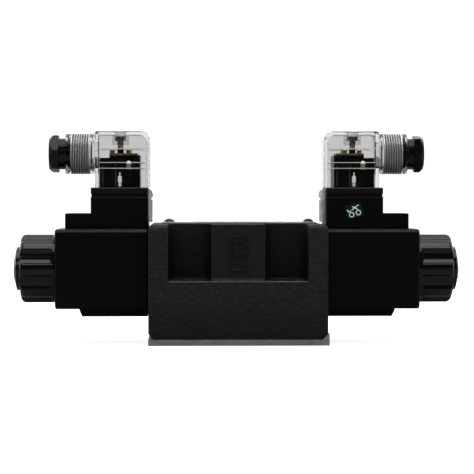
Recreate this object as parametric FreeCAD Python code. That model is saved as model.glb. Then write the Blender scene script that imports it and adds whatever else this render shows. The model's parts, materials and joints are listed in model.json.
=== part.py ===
import FreeCAD, Part

import math
import os

# Double solenoid directional valve, four ways and three positions, with plug-in connectors.
#
# All lengths are millimetres. The origin is the middle of the mounting face, +Z points up out of the valve and
# the spool lies along X. Solenoid a is at -X and solenoid b at +X. The two ends are the same parts: end b is
# modelled once, and end a is that set turned half a turn about Z.

Vector = FreeCAD.Vector

# ---------------------------------------------------------------- driving dimensions
body_half_length = 45.15
body_half_width = 35.0
body_top = 60.8
plate_thickness = 3.0
axis_z = 37.5                 # height of the spool's axis above the mounting face

# mounting pattern of the size 05 interface, with the middle of the four bolts at the origin
bolt_half_x = 27.0
bolt_half_y = 23.0
bolt_hole_radius = 3.5
port_radius = 5.25
port_places = {
    "p": (0.0, -16.7),
    "a": (-10.3, -1.6),
    "b": (10.3, -1.6),
    "t": (-23.8, 9.5),
    "t1": (23.8, 9.5),
}

seal_outer_radius = 8.05
seal_section_radius = 1.3

# casting
bay_inner_x = 13.2
bay_outer_x = 35.4
bay_back_y = 16.5
bay_corner_radius = 7.0
bay_floor_radius = 1.5
shelf_z = 32.2
web_face_y = 33.4             # the web between two bays is set back from the lower face
foot_chamfer = 3.0
casting_edge_radius = 1.2
shelf_edge_chamfer = 0.45
column_top_round = 2.8

# nameplate on top of the casting
nameplate_half_length = 39.4
nameplate_half_width = 15.0
nameplate_thickness = 0.8
nameplate_screw_x = 36.0
nameplate_shift_x = 1.2
nameplate_shank_radius = 1.2

# spool and its bore
spool_radius = 9.97
bore_radius = 10.0
groove_radius = 13.5
chamber_start_x = 30.0
chamber_radius = 12.0
end_thread_radius = 15.0
pole_start_x = 37.5
spool_end_x = 31.5
spool_nose_x = 34.0
spring_wire_radius = 0.8
spring_middle_radius = 6.7
spring_turns = 5.0

# solenoid tube
tube_radius = 11.0
tube_inner_radius = 9.9
tube_end_x = 105.5
pole_face_x = 68.0
armature_start_x = 72.0
armature_end_x = 98.0
end_plug_start_x = 102.0
end_plug_boss_end_x = 110.0
spring_seat_x = 49.0
rod_radius = 2.5
pin_radius = 2.97
pin_end_x = 110.9

# coil
coil_start_x = 45.4
coil_end_x = 92.5
coil_half_width = 23.0
coil_half_height = 20.2
coil_middle_z = 37.9
coil_bore_radius = 11.2
coil_chamfer = 1.5
winding_start_x = 49.0
winding_end_x = 89.0
winding_radius = 17.5
ledge_end_x = 80.8
ledge_depth = 4.25
boss_end_x = 74.8
boss_half_width = 14.75
boss_top = 74.0
step_end_x = 87.9
step_top = 66.1

# coil nut
nut_radius = 17.6
nut_collar_end_x = 94.9
nut_end_x = 111.1
nut_hub_end_x = 114.7
nut_hub_rise = 2.3
nut_hub_radius = 11.2
nut_hub_face_radius = 6.2
nut_bore_radius = 11.1
nut_bore_end_x = 106.0
nut_pin_hole_radius = 5.3
flute_count = 8
flute_cutter_radius = 5.8
flute_depth = 2.2
first_flute = 0.5              # where the first flute stands, as a part of the step between flutes

# connector
connector_x = 60.0
gasket_top = 75.7
flange_top = 79.3
block_half = 10.3
block_top = 95.8
block_step = 1.3
board_thickness = 1.1
hood_start_x = 44.6
hood_end_x = 72.8
hood_half_width = 14.0
hood_top = 108.1
hood_wall = 1.8
hood_inner_round = 4.8
hood_outer_round = 1.6
hood_upright_round = 2.4
hood_groove_heights = (88.8, 90.4, 92.0, 99.1)
hood_screw_tip = 67.0
hood_screw_seat = 103.6
screw_radius = 1.5
led_offset = 4.6
led_base = 88.6
led_radius = 1.15
led_y = 10.4
blade_width = 6.3
blade_thickness = 0.8
blade_offset = 9.0
blade_top = 85.0
blade_root = 68.0
plug_clearance = 0.1

# cable gland
gland_z = 96.7
neck_radius = 10.4
neck_bore_radius = 8.3
neck_end_x = 88.3
neck_rib_start_x = 73.5
neck_rib_radius = 7.5
thread_pitch = 1.5
thread_depth = 0.8
gland_shank_start_x = 86.2
gland_head_start_x = 91.6
gland_end_x = 96.6
gland_shank_radius = 8.0
gland_across_flats = 17.6
gland_bore_radius = 4.2
gland_turn_deg = 10.0
washer_thickness = 0.5
washer_hole_radius = 5.0
seal_start_x = 84.2

along_x = Vector(1, 0, 0)
along_z = Vector(0, 0, 1)


# ---------------------------------------------------------------- helpers
def box(x0, x1, y0, y1, z0, z1):
    return Part.makeBox(x1 - x0, y1 - y0, z1 - z0, Vector(x0, y0, z0))


def rod(x0, x1, radius, z=axis_z, y=0.0):
    """A round bar along X."""
    return Part.makeCylinder(radius, x1 - x0, Vector(x0, y, z), along_x)


def ring(x0, x1, inner, outer, z=axis_z):
    """A round bar along X with a hole through it."""
    return rod(x0, x1, outer, z).cut(rod(x0, x1, inner, z))


def post(x, y, z0, z1, radius):
    """A round bar along Z."""
    return Part.makeCylinder(radius, z1 - z0, Vector(x, y, z0), along_z)


def joined(first, *others):
    """One solid of several that touch or overlap, with their seams removed."""
    return first.fuse(list(others)).removeSplitter()


def outline_face(corners, radii):
    """A flat face round a list of corners, each rounded by a tangent arc of its own radius, or left sharp."""
    count = len(corners)
    runs = []
    for i in range(count):
        corner, radius = corners[i], radii[i]
        back = (corners[i - 1] - corner).normalize()
        ahead = (corners[(i + 1) % count] - corner).normalize()
        if radius <= 0:
            runs.append((corner, None, corner))
            continue
        half = back.getAngle(ahead) / 2
        reach = radius / math.tan(half)
        centre = corner + (back + ahead).normalize() * (radius / math.sin(half))
        nearest = centre + (corner - centre).normalize() * radius
        runs.append((corner + back * reach, nearest, corner + ahead * reach))
    edges = []
    for i in range(count):
        start, middle, end = runs[i]
        if middle is not None:
            edges.append(Part.Arc(start, middle, end).toShape())
        following = runs[(i + 1) % count][0]
        if end.distanceToPoint(following) > 1e-6:
            edges.append(Part.LineSegment(end, following).toShape())
    return Part.Face(Part.Wire(edges))


def prism_along_y(points, y0, y1):
    """An outline swept from y0 to y1. A point is (x, z), or (x, z, radius) at a rounded corner."""
    corners = [Vector(point[0], y0, point[1]) for point in points]
    radii = [point[2] if len(point) > 2 else 0.0 for point in points]
    return outline_face(corners, radii).extrude(Vector(0, y1 - y0, 0))


def prism_along_x(points, x0, x1):
    """An outline swept from x0 to x1. A point is (y, z), or (y, z, radius) at a rounded corner."""
    corners = [Vector(x0, point[0], point[1]) for point in points]
    radii = [point[2] if len(point) > 2 else 0.0 for point in points]
    return outline_face(corners, radii).extrude(Vector(x1 - x0, 0, 0))


def turned(profile, z=axis_z):
    """A solid of revolution about X, from (x, radius) points given from one end to the other."""
    points = [Vector(x, 0, z + r) for x, r in profile]
    closed = [Vector(profile[0][0], 0, z)] + points + [Vector(profile[-1][0], 0, z)]
    clean = [p for i, p in enumerate(closed) if i == 0 or p.distanceToPoint(closed[i - 1]) > 1e-6]
    outline = Part.makePolygon(clean + [clean[0]])
    return Part.Face(outline).revolve(Vector(0, 0, z), along_x, 360)


def upright_edges(shape, test=None):
    """The straight edges of a shape that run along Z and whose middle passes a test."""
    found = []
    for edge in shape.Edges:
        if edge.Curve.TypeId != "Part::GeomLine":
            continue
        start, end = edge.Vertexes[0].Point, edge.Vertexes[-1].Point
        if abs(start.x - end.x) > 1e-6 or abs(start.y - end.y) > 1e-6:
            continue
        middle = (start + end) * 0.5
        if test is None or test(middle):
            found.append(edge)
    return found


def edges_where(shape, test):
    """The edges whose bounding box passes a test."""
    return [edge for edge in shape.Edges if test(edge.BoundBox)]


def rounded_box(x0, x1, y0, y1, z0, z1, radius):
    """A box with its four upright edges rounded."""
    plain = box(x0, x1, y0, y1, z0, z1)
    return plain.makeFillet(radius, upright_edges(plain))


# ---------------------------------------------------------------- valve body and what is on it
def bolt_bay(side_x, side_y):
    """The pocket over one bolt: open to the top and to the face, with round back corners."""
    spill = 5.0
    pocket = rounded_box(
        bay_inner_x, bay_outer_x, bay_back_y, body_half_width + 2 * bay_corner_radius,
        shelf_z, body_top + spill, bay_corner_radius,
    )
    floor = edges_where(pocket, lambda b: b.ZMax < shelf_z + 1e-3)
    pocket = pocket.makeFillet(bay_floor_radius, floor)
    mirrored = pocket.mirror(Vector(0, 0, 0), Vector(1, 0, 0)) if side_x < 0 else pocket
    return mirrored.mirror(Vector(0, 0, 0), Vector(0, 1, 0)) if side_y < 0 else mirrored


def web_recess(side_y):
    """The slab that sets the middle web back from the lower face, with a sloping foot."""
    beyond = body_half_width + 5.0
    slope = body_half_width - web_face_y
    outline = [
        (web_face_y, shelf_z + slope),
        (body_half_width, shelf_z),
        (beyond, shelf_z),
        (beyond, body_top + 5.0),
        (web_face_y, body_top + 5.0),
    ]
    slab = prism_along_x(outline, -bay_inner_x - 0.01, bay_inner_x + 0.01)
    return slab.mirror(Vector(0, 0, 0), Vector(0, 1, 0)) if side_y < 0 else slab


def shelf_edge_cut(side_y):
    """A long wedge that breaks the sharp front edge of the shelf under the bays."""
    spill = 0.01
    outline = [
        (body_half_width + spill, shelf_z - shelf_edge_chamfer - spill),
        (body_half_width + spill, shelf_z + spill),
        (body_half_width - shelf_edge_chamfer - spill, shelf_z + spill),
    ]
    reach = bay_outer_x - bay_floor_radius
    wedge = prism_along_x(outline, -reach, reach)
    return wedge.mirror(Vector(0, 0, 0), Vector(0, 1, 0)) if side_y < 0 else wedge


def foundry_mark():
    """A raised frame on the front web with plain chevrons in it, in place of a name."""
    mark_x, half_w, bottom, top, proud, line = 0.4, 4.2, 37.4, 55.0, 0.5, 0.8
    face = -web_face_y
    outer = box(mark_x - half_w, mark_x + half_w, face - proud, face + 0.5, bottom, top)
    inner = box(mark_x - half_w + line, mark_x + half_w - line, face - 2, face + 2, bottom + line, top - line)
    pieces = [outer.cut(inner)]
    chevron_rise, chevron_half, stroke = 1.8, 2.4, 0.9
    for z in (40.0, 44.1, 48.2):
        outline = [
            (mark_x - chevron_half, z),
            (mark_x, z + chevron_rise),
            (mark_x + chevron_half, z),
            (mark_x + chevron_half, z + stroke),
            (mark_x, z + chevron_rise + stroke),
            (mark_x - chevron_half, z + stroke),
        ]
        pieces.append(prism_along_y(outline, face - proud, face + 0.5))
    pieces.append(box(mark_x - chevron_half, mark_x + chevron_half, face - proud, face + 0.5, 52.2, 53.1))
    return pieces


def body_block():
    """The outer form of the casting."""
    block = box(
        -body_half_length, body_half_length, -body_half_width, body_half_width, plate_thickness, body_top
    )
    feet = edges_where(block, lambda b: b.ZMax < plate_thickness + 1e-3 and b.YLength > 50)
    block = block.makeChamfer(foot_chamfer, feet)
    block = block.makeFillet(casting_edge_radius, upright_edges(block))
    for sx in (1, -1):
        for sy in (1, -1):
            block = block.cut(bolt_bay(sx, sy))
    for sy in (1, -1):
        block = block.cut(web_recess(sy)).cut(shelf_edge_cut(sy))
    column_tops = edges_where(
        block,
        lambda b: b.ZMin > body_top - 1e-3 and b.YLength < 1e-3 and abs(b.YMin) > body_half_width - 1e-3
        and abs(b.XMin + b.XMax) / 2 > bay_inner_x,
    )
    return block.makeFillet(column_top_round, column_tops)


def nameplate_screw_places():
    return [nameplate_shift_x - nameplate_screw_x, nameplate_shift_x + nameplate_screw_x]


def body_passages():
    """The spool bore, its grooves, the end bores, the ports and the bolt holes."""
    cuts = [rod(-chamber_start_x, chamber_start_x, bore_radius)]
    for groove_x, half in ((0.0, 3.0), (10.25, 3.25), (-10.25, 3.25), (23.75, 3.25), (-23.75, 3.25)):
        cuts.append(rod(groove_x - half, groove_x + half, groove_radius))
    for side in (1, -1):
        ends = sorted((side * chamber_start_x, side * pole_start_x))
        cuts.append(rod(ends[0], ends[1], chamber_radius))
        ends = sorted((side * pole_start_x, side * (body_half_length + 1)))
        cuts.append(rod(ends[0], ends[1], end_thread_radius))
    port_tops = {"p": 42.0, "a": 25.0, "b": 25.0, "t": 28.0, "t1": 28.0}
    for name, (x, y) in port_places.items():
        cuts.append(post(x, y, plate_thickness - 1, port_tops[name], port_radius))
    for x in (-bolt_half_x, bolt_half_x):
        for y in (-bolt_half_y, bolt_half_y):
            cuts.append(post(x, y, plate_thickness - 1, shelf_z + 1, bolt_hole_radius))
    for x in nameplate_screw_places():
        cuts.append(post(x, 0, body_top - 7.0, body_top + 1, nameplate_shank_radius))
    return cuts


def valve_body():
    block = body_block().cut(body_passages())
    return block.fuse(foundry_mark())


def seal_plate():
    """The flat plate that holds the port seals, with a lip that hooks behind the foot chamfer at one end."""
    plate = box(-body_half_length, body_half_length, -body_half_width, body_half_width, 0, plate_thickness)
    lip_x = body_half_length + 0.6
    gap = 0.1
    lip = prism_along_y(
        [
            (body_half_length - foot_chamfer + gap, plate_thickness),
            (body_half_length - foot_chamfer + gap, 0.0),
            (lip_x, 0.0),
            (lip_x, plate_thickness + foot_chamfer),
            (body_half_length + gap, plate_thickness + foot_chamfer),
            (body_half_length + gap, plate_thickness + foot_chamfer - gap),
        ],
        -body_half_width,
        body_half_width,
    )
    plate = joined(plate, lip)
    for x in (-bolt_half_x, bolt_half_x):
        for y in (-bolt_half_y, bolt_half_y):
            plate = plate.cut(post(x, y, -1, plate_thickness + 1, bolt_hole_radius))
    for x, y in port_places.values():
        plate = plate.cut(post(x, y, -1, plate_thickness + 1, seal_outer_radius + 0.05))
    return plate


def port_seals():
    middle = seal_outer_radius - seal_section_radius
    rings = [
        Part.makeTorus(middle, seal_section_radius, Vector(x, y, plate_thickness / 2), along_z)
        for x, y in port_places.values()
    ]
    return Part.makeCompound(rings)


def nameplate():
    base = body_top
    start, end = nameplate_shift_x - nameplate_half_length, nameplate_shift_x + nameplate_half_length
    plate = rounded_box(
        start, end, -nameplate_half_width, nameplate_half_width, base, base + nameplate_thickness, 1.5
    )
    for x in nameplate_screw_places():
        plate = plate.cut(post(x, 0, base - 1, base + 2, nameplate_shank_radius + 0.1))
    return plate


def nameplate_screws():
    """Two drive screws with low domed heads."""
    seat = body_top + nameplate_thickness
    head_radius, head_height = 2.9, 1.7
    ball = (head_radius ** 2 + head_height ** 2) / (2 * head_height)
    screws = []
    for x in nameplate_screw_places():
        dome = Part.makeSphere(ball, Vector(x, 0, seat + head_height - ball))
        head = dome.common(post(x, 0, seat, seat + head_height + 1, head_radius))
        shank = post(x, 0, body_top - 6.5, seat + 0.2, nameplate_shank_radius)
        slot = box(x - 3, x + 3, -0.35, 0.35, seat + head_height - 0.6, seat + head_height + 1)
        screws.append(joined(head, shank).cut(slot))
    return Part.makeCompound(screws)


# ---------------------------------------------------------------- what moves inside
def spool():
    """Four lands and three necks, with balancing grooves round the lands."""
    neck = 6.5
    nose = 4.0
    half = [
        (5.0, neck),
        (5.0, spool_radius),
        (15.5, spool_radius),
        (15.5, neck),
        (26.0, neck),
        (26.0, spool_radius),
        (spool_end_x, spool_radius),
        (spool_end_x, nose),
        (spool_nose_x, nose),
    ]
    profile = [(-x, r) for x, r in reversed(half)] + half
    body = turned(profile)
    groove_floor = spool_radius - 0.4
    for x in (8.0, 10.2, 12.4, 28.6):
        for side in (1, -1):
            middle = side * x
            body = body.cut(ring(middle - 0.25, middle + 0.25, groove_floor, spool_radius + 1))
    return body


def spring_retainer():
    return ring(spool_end_x, spool_end_x + 1.5, 4.05, 8.3)


def centring_spring():
    """A round-wire spring from the retainer to its seat in the pole piece."""
    start = spool_end_x + 1.5 + spring_wire_radius
    length = spring_seat_x - spring_wire_radius - start
    helix = Part.makeHelix(length / spring_turns, length, spring_middle_radius)
    section = Part.Wire(
        Part.makeCircle(spring_wire_radius, Vector(spring_middle_radius, 0, 0), Vector(0, 1, 0))
    )
    coil = Part.Wire(helix).makePipeShell([section], True, True)
    coil.rotate(Vector(0, 0, 0), Vector(0, 1, 0), 90)
    coil.translate(Vector(start, 0, axis_z))
    return coil


def armature():
    """The plunger, with two oil ways along it."""
    plunger = rod(armature_start_x, armature_end_x, tube_inner_radius - 0.15)
    rims = edges_where(plunger, lambda b: b.XLength < 1e-3)
    plunger = plunger.makeChamfer(0.6, rims)
    for y in (-6.2, 6.2):
        plunger = plunger.cut(rod(armature_start_x - 1, armature_end_x + 1, 1.3, y=y))
    return plunger


def push_rod():
    return rod(spool_nose_x, armature_start_x, rod_radius)


def override_pin():
    pin = rod(armature_end_x, pin_end_x, pin_radius)
    tip = edges_where(pin, lambda b: b.XMin > pin_end_x - 1e-3)
    return pin.makeChamfer(0.5, tip)


# ---------------------------------------------------------------- solenoid tube
def pole_piece():
    """Screws into the body's end, seats the spring and carries the tube."""
    step_x = 58.0
    outside = turned(
        [
            (pole_start_x, end_thread_radius - 0.05),
            (43.0, end_thread_radius - 0.05),
            (43.0, 13.0),
            (body_half_length, 13.0),
            (body_half_length, tube_radius),
            (step_x, tube_radius),
            (step_x, tube_inner_radius),
            (pole_face_x, tube_inner_radius),
        ]
    )
    outside = outside.cut(rod(pole_start_x - 1, spring_seat_x, 8.8))
    return outside.cut(rod(spring_seat_x - 1, pole_face_x + 1, rod_radius + 0.1))


def core_tube():
    """The thin tube between the pole piece and the end plug, its end rolled into a shallow relief."""
    tube = ring(58.0, tube_end_x, tube_inner_radius, tube_radius)
    relief = ring(92.5, 94.0, tube_radius - 0.4, tube_radius + 1)
    return tube.cut(relief)


def end_plug():
    plug = turned(
        [
            (end_plug_start_x, tube_inner_radius),
            (tube_end_x, tube_inner_radius),
            (tube_end_x, 5.0),
            (end_plug_boss_end_x, 5.0),
        ]
    )
    return plug.cut(rod(end_plug_start_x - 1, end_plug_boss_end_x + 1, pin_radius + 0.05))


def tube_seal():
    section = 0.95
    return Part.makeTorus(14.0, section, Vector(44.0, 0, axis_z), along_x)


# ---------------------------------------------------------------- coil
def blade_places():
    """Middle of each contact blade and whether it stands across X."""
    return [
        (connector_x, blade_offset, False),
        (connector_x, -blade_offset, False),
        (connector_x - blade_offset, 0.0, True),
    ]


def blade(x, y, across, grow, z0, z1):
    long_half = blade_width / 2 + grow
    thin_half = blade_thickness / 2 + grow
    half_x, half_y = (thin_half, long_half) if across else (long_half, thin_half)
    return box(x - half_x, x + half_x, y - half_y, y + half_y, z0, z1)


def coil_terminals():
    blades = []
    for x, y, across in blade_places():
        plain = blade(x, y, across, 0.0, blade_root, blade_top)
        tips = edges_where(plain, lambda b: b.ZMin > blade_top - 1e-3)
        blades.append(plain.makeChamfer(0.3, tips))
    return Part.makeCompound(blades)


def coil_housing():
    """The moulded block round the winding, with the connector's boss and a step on top and a ledge below."""
    half_w, cut = coil_half_width, coil_chamfer
    coil_top = coil_middle_z + coil_half_height
    coil_bottom = coil_middle_z - coil_half_height
    octagon = [
        (-half_w, coil_bottom + cut),
        (-half_w, coil_top - cut),
        (-half_w + cut, coil_top),
        (half_w - cut, coil_top),
        (half_w, coil_top - cut),
        (half_w, coil_bottom + cut),
        (half_w - cut, coil_bottom),
        (-half_w + cut, coil_bottom),
    ]
    block = prism_along_x(octagon, coil_start_x, coil_end_x)
    rims = edges_where(block, lambda b: b.XLength < 1e-3)
    block = block.makeChamfer(0.7, rims)

    boss = box(coil_start_x, boss_end_x, -boss_half_width, boss_half_width, coil_top - 3, boss_top)
    boss = boss.makeFillet(1.2, upright_edges(boss))
    step = box(boss_end_x - 5, step_end_x, -boss_half_width, boss_half_width, coil_top - 3, step_top)
    step = step.makeFillet(1.2, upright_edges(step, lambda p: p.x > boss_end_x))
    step_rim = edges_where(step, lambda b: b.ZMin > step_top - 1e-3 and b.XMax > boss_end_x + 1)
    step = step.makeFillet(0.6, step_rim)

    ledge_bottom = coil_bottom - ledge_depth
    ledge = prism_along_x(
        [
            (-17.0, coil_bottom + 3),
            (17.0, coil_bottom + 3),
            (17.0, coil_bottom - 1.6),
            (14.0, ledge_bottom),
            (-14.0, ledge_bottom),
            (-17.0, coil_bottom - 1.6),
        ],
        coil_start_x + 0.4,
        ledge_end_x,
    )
    slope = prism_along_y(
        [
            (ledge_end_x - 1.6, ledge_bottom - 0.01),
            (ledge_end_x + 1, ledge_bottom - 0.01),
            (ledge_end_x + 1, coil_bottom - 0.01),
            (ledge_end_x - 0.2, coil_bottom - 0.01),
        ],
        -30,
        30,
    )
    housing = joined(block, boss, step, ledge.cut(slope))
    housing = housing.cut(rod(coil_start_x - 1, coil_end_x + 1, coil_bore_radius))
    housing = housing.cut(rod(winding_start_x, winding_end_x, winding_radius))
    for x, y, across in blade_places():
        housing = housing.cut(blade(x, y, across, 0.0, blade_root, boss_top + 1))
    return housing.cut(post(connector_x, 0, hood_screw_tip - 1.0, boss_top + 1, screw_radius + 0.05))


def coil_bobbin():
    clear = 0.1
    core = ring(winding_start_x + clear, winding_end_x - clear, coil_bore_radius + clear, 12.3)
    flange_outer = winding_radius - clear
    inner = ring(winding_start_x + clear, winding_start_x + 1.4, coil_bore_radius + clear, flange_outer)
    outer = ring(winding_end_x - 1.4, winding_end_x - clear, coil_bore_radius + clear, flange_outer)
    return joined(core, inner, outer)


def coil_winding():
    """The wound copper, with the rounds of its outer layer."""
    layer_start, layer_end = winding_start_x + 1.6, winding_end_x - 1.6
    wound = ring(layer_start, layer_end, 12.4, 16.9)
    bands = 18
    pitch = (layer_end - layer_start) / bands
    for i in range(1, bands):
        x = layer_start + i * pitch
        wound = wound.cut(ring(x - 0.15, x + 0.15, 16.6, 17.5))
    return wound


def boss_cover():
    """The clear clip-on cover of the wiring pocket, with a snap lip at its top."""
    face = coil_start_x
    bottom = body_top + nameplate_thickness
    outline = [
        (face, bottom),
        (face - 1.7, bottom),
        (face - 1.8, 72.4),
        (face - 1.1, 73.3),
        (face - 1.1, 73.9),
        (face - 2.1, 74.8),
        (face - 1.8, 77.0),
        (face - 0.9, 78.3),
        (face - plug_clearance, 78.3),
        (face - plug_clearance, boss_top),
        (face, boss_top),
    ]
    return prism_along_y(outline, -11.0, 11.0)


def coil_nut():
    """The fluted hand nut: a round collar, eight flutes and a coned hub round the pin."""
    corner = 2.6
    arc = [
        (nut_end_x - corner + corner * math.sin(a), nut_radius - corner + corner * math.cos(a))
        for a in (math.radians(t) for t in (0, 22.5, 45, 67.5, 90))
    ]
    profile = (
        [(coil_end_x, nut_radius)]
        + arc
        + [
            (nut_end_x, nut_hub_radius),
            (nut_end_x + nut_hub_rise, nut_hub_radius),
            (nut_hub_end_x, nut_hub_face_radius),
        ]
    )
    nut = turned(profile)
    reach = nut_radius - flute_depth + flute_cutter_radius
    for i in range(flute_count):
        angle = 2 * math.pi * (i + first_flute) / flute_count
        flute = rod(
            nut_collar_end_x, nut_end_x + 5, flute_cutter_radius,
            z=axis_z + reach * math.sin(angle), y=reach * math.cos(angle),
        )
        nut = nut.cut(flute)
    nut = nut.cut(rod(coil_end_x - 1, nut_bore_end_x, nut_bore_radius))
    nut = nut.cut(rod(nut_bore_end_x - 1, nut_hub_end_x + 1, nut_pin_hole_radius))
    return nut.cut(ring(coil_end_x - 1, coil_end_x + 1.6, 12.6, 14.6))


def nut_seal():
    section = 0.75
    return Part.makeTorus(13.6, section, Vector(coil_end_x + section, 0, axis_z), along_x)


# ---------------------------------------------------------------- connector
def connector_gasket():
    start, end, half = coil_start_x + 0.3, boss_end_x - 0.3, boss_half_width - 0.3
    gasket = rounded_box(start, end, -half, half, boss_top, gasket_top, 1.5)
    for x, y, across in blade_places():
        gasket = gasket.cut(blade(x, y, across, 0.15, boss_top - 1, gasket_top + 1))
    return gasket.cut(post(connector_x, 0, boss_top - 1, gasket_top + 1, screw_radius + 0.2))


def terminal_block():
    """The black insert: a flange, a stepped block with a slot for each blade, and a collar for the screw."""
    flange = rounded_box(
        coil_start_x, boss_end_x, -boss_half_width, boss_half_width, gasket_top, flange_top, 1.5
    )
    brim = edges_where(flange, lambda b: b.ZMin > flange_top - 1e-3 or b.ZMax < gasket_top + 1e-3)
    flange = flange.makeChamfer(0.5, brim)
    low, high = connector_x - block_half, connector_x + block_half
    block = box(low, high, -11.0, 11.0, flange_top - 1, block_top)
    block = block.cut(box(high - 5.0, high + 1, -12, 12, block_top - block_step, block_top + 1))
    collar = post(connector_x, 0, block_top - 1, block_top + 3.0, 1.75)
    whole = joined(flange, block, collar)
    for side in (1, -1):
        led_x = connector_x - side * led_offset
        whole = whole.cut(post(led_x, side * led_y, led_base - 0.2, block_top + 1, 2.0))
        slot = box(
            connector_x - 1.2, connector_x + 1.2, *sorted((side * 9.6, side * 12)), flange_top + 0.4, 87.4
        )
        whole = whole.cut(slot)
    for x, y, across in blade_places():
        whole = whole.cut(blade(x, y, across, 0.25, gasket_top - 1, blade_top + 1))
    return whole.cut(post(connector_x, 0, gasket_top - 1, block_top + 4, screw_radius + 0.05))


def indicator_leds():
    """A small round lamp at each face of the block, with a flange round its foot and a domed top."""
    lamps = []
    for side in (1, -1):
        x, y = connector_x - side * led_offset, side * led_y
        flange = post(x, y, led_base, led_base + 0.7, led_radius + 0.2)
        stem_top = led_base + 3.0
        stem = post(x, y, led_base, stem_top, led_radius)
        dome = Part.makeSphere(led_radius, Vector(x, y, stem_top))
        lamps.append(joined(flange, stem, dome))
    return Part.makeCompound(lamps)


def indicator_resistors():
    """A resistor with its two leads, standing in the slot at each face of the block."""
    parts = []
    for side in (1, -1):
        y = side * 10.8
        body = post(connector_x, y, 82.0, 85.2, 0.9)
        rims = edges_where(body, lambda b: b.ZLength < 1e-3)
        body = body.makeFillet(0.3, rims)
        lead = post(connector_x, y, 79.8, 87.0, 0.3)
        foot = Part.makeSphere(0.6, Vector(connector_x, y, 80.6))
        parts.append(joined(body, lead, foot))
    return Part.makeCompound(parts)


def indicator_board():
    board = box(51.0, 65.4, -8.6, 8.6, block_top, block_top + board_thickness)
    board = board.cut(post(connector_x, 0, block_top - 1, block_top + 3, 2.0))
    for side in (1, -1):
        led_x = connector_x - side * led_offset
        board = board.cut(post(led_x, side * led_y, block_top - 1, block_top + 3, 2.6))
    return board


def terminal_screws():
    """Slotted brass screws that clamp the wires, standing on the board."""
    seat = block_top + board_thickness
    screws = []
    for x, y in ((55.6, -4.5), (64.0, 4.5), (55.6, 4.5)):
        head = post(x, y, seat, seat + 1.9, 1.35)
        rims = edges_where(head, lambda b: b.ZMin > seat + 1.8)
        head = head.makeFillet(0.3, rims)
        screws.append(head.cut(box(x - 2, x + 2, y - 0.25, y + 0.25, seat + 1.2, seat + 3)))
    return Part.makeCompound(screws)


def hood_form(inset, bottom):
    """The hood's outer form, or its hollow when inset: three rounded outlines in common."""
    low, high = hood_start_x + inset, hood_end_x - inset
    half, top = hood_half_width - inset, hood_top - inset
    inner_round = hood_inner_round - inset / 2
    outer_round = max(hood_outer_round - inset, 0.6)
    upright_round = max(hood_upright_round - inset, 0.8)
    side = prism_along_y(
        [(low, bottom), (low, top, inner_round), (high, top, outer_round), (high, bottom)], -half, half
    )
    end = prism_along_x(
        [(-half, bottom), (-half, top, outer_round), (half, top, outer_round), (half, bottom)], low, high
    )
    plan = rounded_box(low, high, -half, half, bottom, top, upright_round)
    return side.common(end).common(plan)


def neck_hollow():
    """The hollow of the neck: ribbed up to a shoulder for the seal, then the gland nut's thread."""
    profile = [(hood_end_x - hood_wall - 1, neck_rib_radius)]
    ribs = int((seal_start_x - neck_rib_start_x) / thread_pitch)
    for i in range(ribs):
        start = neck_rib_start_x + i * thread_pitch
        profile.append((start, neck_rib_radius))
        profile.append((start + thread_pitch / 2, neck_rib_radius + thread_depth))
    profile.append((seal_start_x, neck_rib_radius))
    profile.append((seal_start_x, neck_bore_radius))
    turns = int((neck_end_x - gland_shank_start_x) / thread_pitch)
    for i in range(turns):
        start = gland_shank_start_x + i * thread_pitch
        profile.append((start, neck_bore_radius))
        profile.append((start + thread_pitch / 2, neck_bore_radius + thread_depth))
    profile.append((gland_shank_start_x + turns * thread_pitch, neck_bore_radius))
    profile.append((neck_end_x + 1, neck_bore_radius))
    return turned(profile, z=gland_z)


def connector_hood():
    """The clear hood: a thin box open below, a neck for the gland and a well for the screw."""
    neck = rod(hood_end_x - 2, neck_end_x, neck_radius, z=gland_z)
    rim = edges_where(neck, lambda b: b.XMin > neck_end_x - 1e-3)
    shell = joined(hood_form(0.0, flange_top), neck.makeChamfer(0.6, rim))
    shell = shell.cut(hood_form(hood_wall, flange_top - 1))
    shell = shell.cut(neck_hollow())
    well = post(connector_x, 0, 101.4, hood_top - 0.5, 4.4)
    shell = joined(shell, well)
    shell = shell.cut(post(connector_x, 0, hood_screw_seat, hood_top + 1, 3.1))
    shell = shell.cut(post(connector_x, 0, 100, hood_top, screw_radius + 0.2))
    groove_depth, groove_half = 0.3, 0.25
    for z in hood_groove_heights:
        for face in (1, -1):
            outer = face * (hood_half_width + 1)
            floor = face * (hood_half_width - groove_depth)
            shell = shell.cut(
                box(
                    hood_start_x + 4.0, hood_end_x - 1.5, min(outer, floor), max(outer, floor),
                    z - groove_half, z + groove_half,
                )
            )
    return shell


def hood_screw():
    """The long screw that holds the plug on the coil, with a slotted cheese head."""
    head_top = hood_screw_seat + 2.3
    shank = post(connector_x, 0, hood_screw_tip, hood_screw_seat, screw_radius)
    head = post(connector_x, 0, hood_screw_seat, head_top, 2.8)
    rim = edges_where(head, lambda b: b.ZMin > head_top - 1e-3)
    head = head.makeFillet(0.4, rim)
    slot = box(connector_x - 4, connector_x + 4, -0.4, 0.4, head_top - 1.0, head_top + 1)
    return joined(shank, head).cut(slot)


def gland_seal():
    end = gland_shank_start_x - washer_thickness
    return ring(seal_start_x, end, 3.6, neck_bore_radius - 0.1, z=gland_z)


def gland_washer():
    start = gland_shank_start_x - washer_thickness
    return ring(start, gland_shank_start_x, washer_hole_radius, neck_bore_radius - 0.2, z=gland_z)


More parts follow.
